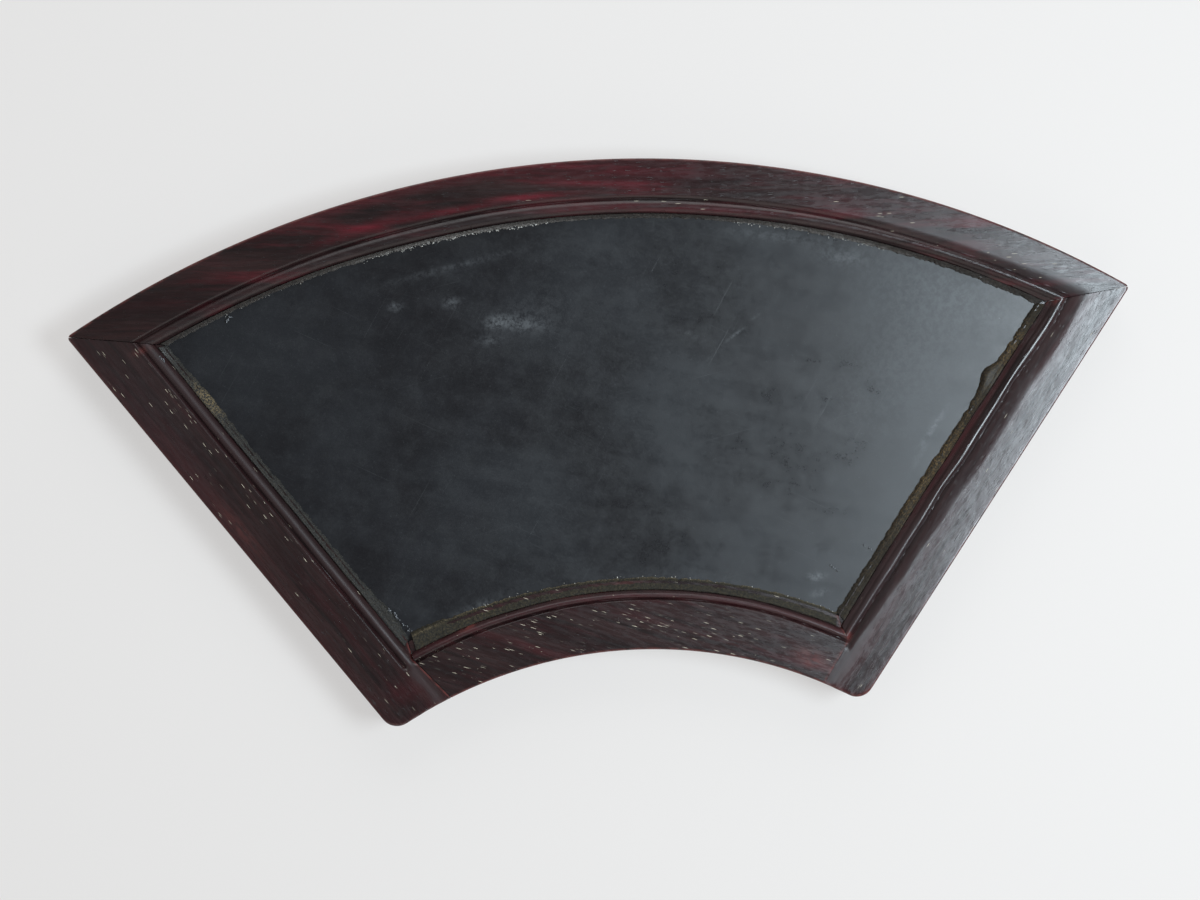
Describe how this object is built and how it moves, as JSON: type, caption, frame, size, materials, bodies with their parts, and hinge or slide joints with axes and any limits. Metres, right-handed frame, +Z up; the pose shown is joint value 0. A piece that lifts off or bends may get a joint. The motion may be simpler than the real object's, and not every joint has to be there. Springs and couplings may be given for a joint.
{
  "type": "dream stone panel",
  "caption": "Fan-shaped slab of dark stone in a moulded hardwood frame, backed by battened boards, with two folding ring hangers for hanging it flat on a wall.",
  "frame": {"origin": "on the back of the top rail, halfway along it, where the frame meets the wall", "axes": "+X to the right as the face is looked at, +Y into the wall, +Z up; the face looks along -Y"},
  "size_m": [0.4186, 0.018, 0.2176],
  "materials": {
    "rosewood": "dark oiled hardwood with open pores, rubbed at the edges",
    "red_rosewood": "dark oiled hardwood with crimson streaks",
    "dark_stone": "honed near-black blue-grey stone, faintly clouded and scratched",
    "lacquer_putty": "dried lacquer putty, crumbled and dull",
    "softwood": "planed softwood, aged and dusty",
    "bamboo": "split bamboo, cut flush",
    "brass": "drawn wire, dulled with age",
    "iron": "wrought brad, lightly rusted"
  },
  "bodies": {
    "panel": {"top_rail": "red_rosewood", "stone_slab": "dark_stone", "left_stile": "rosewood", "right_stile": "rosewood", "bottom_rail": "rosewood", "left_mitre_spline": "rosewood", "right_mitre_spline": "rosewood", "top_putty": "lacquer_putty", "bottom_putty": "lacquer_putty", "left_putty": "lacquer_putty", "right_putty": "lacquer_putty", "upper_backing_board": "softwood", "lower_backing_board": "softwood", "left_batten": "softwood", "right_batten": "softwood", "left_rail_peg": "bamboo", "left_stile_peg": "bamboo", "left_tenon_peg": "bamboo", "right_rail_peg": "bamboo", "right_stile_peg": "bamboo", "right_tenon_peg": "bamboo", "board_brad_1": "iron", "board_brad_2": "iron", "board_brad_3": "iron", "board_brad_4": "iron", "board_brad_5": "iron", "board_brad_6": "iron", "board_brad_7": "iron", "board_brad_8": "iron", "left_staple": "brass", "right_staple": "brass"},
    "left_hanger": {"left_ring": "brass"},
    "right_hanger": {"right_ring": "brass"}
  },
  "joints": [
    {"name": "left_ring_swing", "type": "hinge", "parent": "panel", "child": "left_hanger", "pos_m": [-0.06, -0.00315, -0.01041], "axis": [1, 0, 0], "range_deg": [0, 180]},
    {"name": "right_ring_swing", "type": "hinge", "parent": "panel", "child": "right_hanger", "pos_m": [0.06, -0.00315, -0.01041], "axis": [1, 0, 0], "range_deg": [0, 180]}
  ]
}
